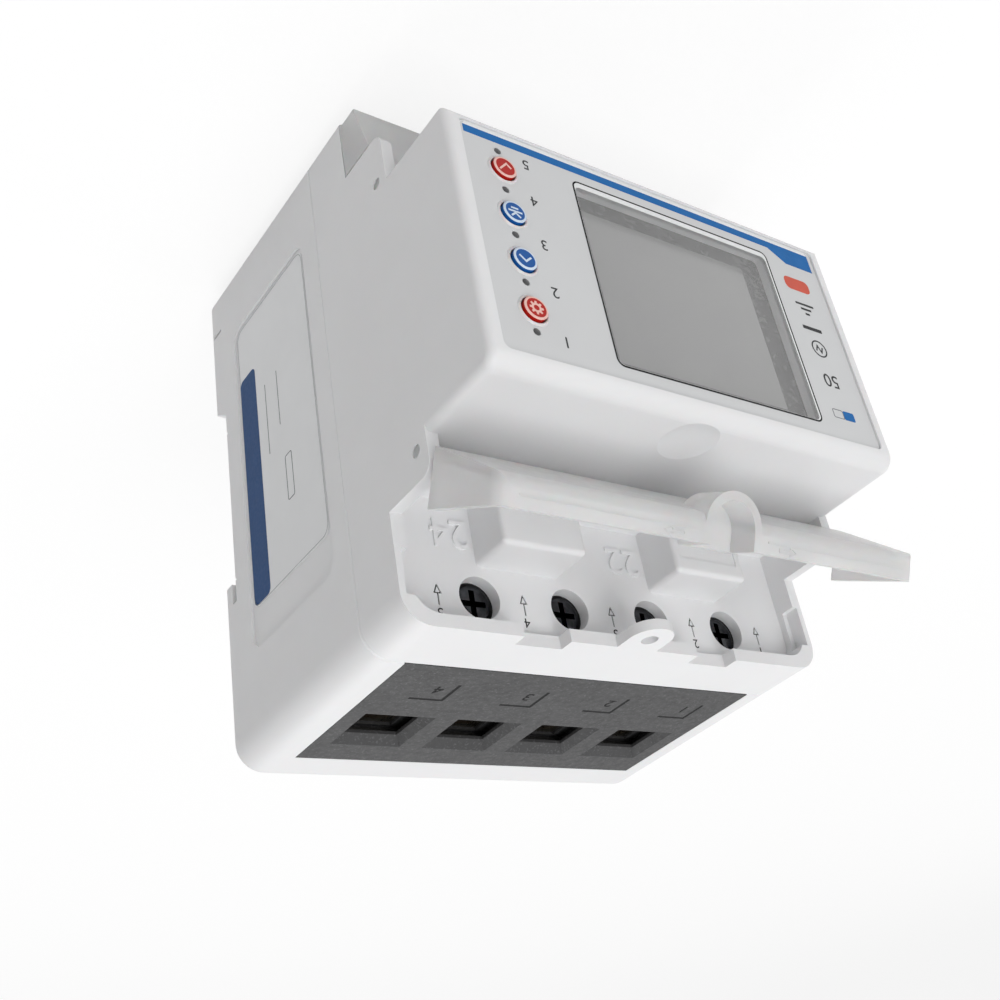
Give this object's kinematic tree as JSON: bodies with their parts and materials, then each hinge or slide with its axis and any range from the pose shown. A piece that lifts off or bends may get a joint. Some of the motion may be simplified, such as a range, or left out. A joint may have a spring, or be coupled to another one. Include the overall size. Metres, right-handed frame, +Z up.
{
  "type": "smart energy monitor",
  "caption": "DIN-rail three-phase energy meter: white case with raised display nose, push buttons, hinged clear terminal covers, dark terminal blocks and a sprung rail clip.",
  "frame": {"origin": "centre of the flat seat that lies on the mounting rail", "axes": "+X right as seen from the front, -Y out of the display, +Y into the rail, +Z up as the display reads"},
  "size_m": [0.076, 0.0788, 0.0922],
  "materials": {
    "shell_white": "fine moulded texture, white flame-retardant PC/ABS",
    "terminal_dark": "spark-eroded texture, dark grey glass-filled polyamide",
    "cover_clear": "lightly frosted clear polycarbonate",
    "panel_grey": "satin light-grey front film on its plate",
    "window_clear": "polished clear acrylic",
    "lcd_grey": "satin grey-green display glass",
    "backlight_white": "white diffuser",
    "button_blue": "satin moulded blue",
    "button_red": "satin moulded red",
    "label_paper": "matt printed film, left blank",
    "steel_zinc": "zinc-plated, bright",
    "brass_nickel": "nickel-plated brass",
    "copper_bar": "bare rolled copper",
    "clip_black": "moulded black polyamide",
    "board_green": "solder mask on glass-fibre board",
    "part_black": "black encapsulation",
    "light_clear": "polished clear acrylic",
    "lead_white": "flat lead's white film",
    "disc_blue": "epoxy-dipped blue"
  },
  "bodies": {
    "case": {"backup_battery": "steel_zinc", "board_ribbon": "lead_white", "busbars": "copper_bar", "case_screws": "steel_zinc", "circuit_chips": "part_black", "current_transformers": "part_black", "display_board": "board_green", "display_board_screws": "steel_zinc", "display_panel": "panel_grey", "display_window": "window_clear", "front_case": "shell_white", "lcd_backlight": "backlight_white", "lcd_glass": "lcd_grey", "light_pipes": "light_clear", "main_board": "board_green", "main_board_screws": "steel_zinc", "power_transformer": "brass_nickel", "rail_clip_spring": "steel_zinc", "rear_base": "shell_white", "side_label": "label_paper", "status_leds": "backlight_white", "supply_capacitors": "part_black", "surge_varistors": "disc_blue", "tact_switches": "part_black", "terminal_block_bottom": "terminal_dark", "terminal_block_top": "terminal_dark", "wifi_antenna": "lead_white", "wifi_module": "board_green", "wifi_shield": "steel_zinc"},
    "button_confirm_body": {"button_confirm": "button_red"},
    "button_menu_body": {"button_menu": "button_red"},
    "button_scroll_body": {"button_scroll": "button_blue"},
    "button_step_body": {"button_step": "button_blue"},
    "clamp_cage_bottom_1_body": {"clamp_cage_bottom_1": "brass_nickel"},
    "clamp_cage_bottom_2_body": {"clamp_cage_bottom_2": "brass_nickel"},
    "clamp_cage_bottom_3_body": {"clamp_cage_bottom_3": "brass_nickel"},
    "clamp_cage_bottom_4_body": {"clamp_cage_bottom_4": "brass_nickel"},
    "clamp_cage_top_1_body": {"clamp_cage_top_1": "brass_nickel"},
    "clamp_cage_top_2_body": {"clamp_cage_top_2": "brass_nickel"},
    "clamp_cage_top_3_body": {"clamp_cage_top_3": "brass_nickel"},
    "clamp_cage_top_4_body": {"clamp_cage_top_4": "brass_nickel"},
    "clamp_screw_bottom_1_body": {"clamp_screw_bottom_1": "steel_zinc"},
    "clamp_screw_bottom_2_body": {"clamp_screw_bottom_2": "steel_zinc"},
    "clamp_screw_bottom_3_body": {"clamp_screw_bottom_3": "steel_zinc"},
    "clamp_screw_bottom_4_body": {"clamp_screw_bottom_4": "steel_zinc"},
    "clamp_screw_top_1_body": {"clamp_screw_top_1": "steel_zinc"},
    "clamp_screw_top_2_body": {"clamp_screw_top_2": "steel_zinc"},
    "clamp_screw_top_3_body": {"clamp_screw_top_3": "steel_zinc"},
    "clamp_screw_top_4_body": {"clamp_screw_top_4": "steel_zinc"},
    "rail_clip_body": {"rail_clip": "clip_black"},
    "terminal_cover_bottom_body": {"terminal_cover_bottom": "cover_clear"},
    "terminal_cover_top_body": {"terminal_cover_top": "cover_clear"}
  },
  "joints": [
    {"name": "cover_top_hinge", "type": "hinge", "parent": "case", "child": "terminal_cover_top_body", "pos_m": [0, -0.0548, 0.02385], "axis": [1, 0, 0], "range_deg": [-62, 28]},
    {"name": "cover_bottom_hinge", "type": "hinge", "parent": "case", "child": "terminal_cover_bottom_body", "pos_m": [0, -0.0548, -0.02385], "axis": [-1, 0, 0], "range_deg": [0, 90]},
    {"name": "rail_clip_slide", "type": "slide", "parent": "case", "child": "rail_clip_body", "axis": [0, 0, -1], "range_m": [0, 0.0035], "stiffness_N_per_m": 1500, "springref_m": -0.002, "deforming": ["rail_clip_spring"]},
    {"name": "button_confirm_press", "type": "slide", "parent": "case", "child": "button_confirm_body", "axis": [0, 1, 0], "range_m": [0, 0.0004], "stiffness_N_per_m": 2000, "springref_m": -0.0002},
    {"name": "button_scroll_press", "type": "slide", "parent": "case", "child": "button_scroll_body", "axis": [0, 1, 0], "range_m": [0, 0.0004], "stiffness_N_per_m": 2000, "springref_m": -0.0002},
    {"name": "button_step_press", "type": "slide", "parent": "case", "child": "button_step_body", "axis": [0, 1, 0], "range_m": [0, 0.0004], "stiffness_N_per_m": 2000, "springref_m": -0.0002},
    {"name": "button_menu_press", "type": "slide", "parent": "case", "child": "button_menu_body", "axis": [0, 1, 0], "range_m": [0, 0.0004], "stiffness_N_per_m": 2000, "springref_m": -0.0002},
    {"name": "screw_top_1_turn", "type": "hinge", "parent": "case", "child": "clamp_screw_top_1_body", "pos_m": [-0.0231, -0.03, 0.0373], "axis": [0, 1, 0], "range_deg": [0, 3240]},
    {"name": "cage_top_1_lift", "type": "slide", "parent": "case", "child": "clamp_cage_top_1_body", "axis": [0, -1, 0], "range_m": [0, 0.0063]},
    {"name": "screw_top_2_turn", "type": "hinge", "parent": "case", "child": "clamp_screw_top_2_body", "pos_m": [-0.0077, -0.03, 0.0373], "axis": [0, 1, 0], "range_deg": [0, 3240]},
    {"name": "cage_top_2_lift", "type": "slide", "parent": "case", "child": "clamp_cage_top_2_body", "axis": [0, -1, 0], "range_m": [0, 0.0063]},
    {"name": "screw_top_3_turn", "type": "hinge", "parent": "case", "child": "clamp_screw_top_3_body", "pos_m": [0.0077, -0.03, 0.0373], "axis": [0, 1, 0], "range_deg": [0, 3240]},
    {"name": "cage_top_3_lift", "type": "slide", "parent": "case", "child": "clamp_cage_top_3_body", "axis": [0, -1, 0], "range_m": [0, 0.0063]},
    {"name": "screw_top_4_turn", "type": "hinge", "parent": "case", "child": "clamp_screw_top_4_body", "pos_m": [0.0231, -0.03, 0.0373], "axis": [0, 1, 0], "range_deg": [0, 3240]},
    {"name": "cage_top_4_lift", "type": "slide", "parent": "case", "child": "clamp_cage_top_4_body", "axis": [0, -1, 0], "range_m": [0, 0.0063]},
    {"name": "screw_bottom_1_turn", "type": "hinge", "parent": "case", "child": "clamp_screw_bottom_1_body", "pos_m": [-0.0231, -0.03, -0.0373], "axis": [0, 1, 0], "range_deg": [0, 3240]},
    {"name": "cage_bottom_1_lift", "type": "slide", "parent": "case", "child": "clamp_cage_bottom_1_body", "axis": [0, -1, 0], "range_m": [0, 0.0063]},
    {"name": "screw_bottom_2_turn", "type": "hinge", "parent": "case", "child": "clamp_screw_bottom_2_body", "pos_m": [-0.0077, -0.03, -0.0373], "axis": [0, 1, 0], "range_deg": [0, 3240]},
    {"name": "cage_bottom_2_lift", "type": "slide", "parent": "case", "child": "clamp_cage_bottom_2_body", "axis": [0, -1, 0], "range_m": [0, 0.0063]},
    {"name": "screw_bottom_3_turn", "type": "hinge", "parent": "case", "child": "clamp_screw_bottom_3_body", "pos_m": [0.0077, -0.03, -0.0373], "axis": [0, 1, 0], "range_deg": [0, 3240]},
    {"name": "cage_bottom_3_lift", "type": "slide", "parent": "case", "child": "clamp_cage_bottom_3_body", "axis": [0, -1, 0], "range_m": [0, 0.0063]},
    {"name": "screw_bottom_4_turn", "type": "hinge", "parent": "case", "child": "clamp_screw_bottom_4_body", "pos_m": [0.0231, -0.03, -0.0373], "axis": [0, 1, 0], "range_deg": [0, 3240]},
    {"name": "cage_bottom_4_lift", "type": "slide", "parent": "case", "child": "clamp_cage_bottom_4_body", "axis": [0, -1, 0], "range_m": [0, 0.0063]}
  ],
  "couplings": [
    {"joint": "screw_top_1_turn", "follows": "cage_top_1_lift", "rad_per_m": 8976},
    {"joint": "screw_top_2_turn", "follows": "cage_top_2_lift", "rad_per_m": 8976},
    {"joint": "screw_top_3_turn", "follows": "cage_top_3_lift", "rad_per_m": 8976},
    {"joint": "screw_top_4_turn", "follows": "cage_top_4_lift", "rad_per_m": 8976},
    {"joint": "screw_bottom_1_turn", "follows": "cage_bottom_1_lift", "rad_per_m": 8976},
    {"joint": "screw_bottom_2_turn", "follows": "cage_bottom_2_lift", "rad_per_m": 8976},
    {"joint": "screw_bottom_3_turn", "follows": "cage_bottom_3_lift", "rad_per_m": 8976},
    {"joint": "screw_bottom_4_turn", "follows": "cage_bottom_4_lift", "rad_per_m": 8976}
  ]
}
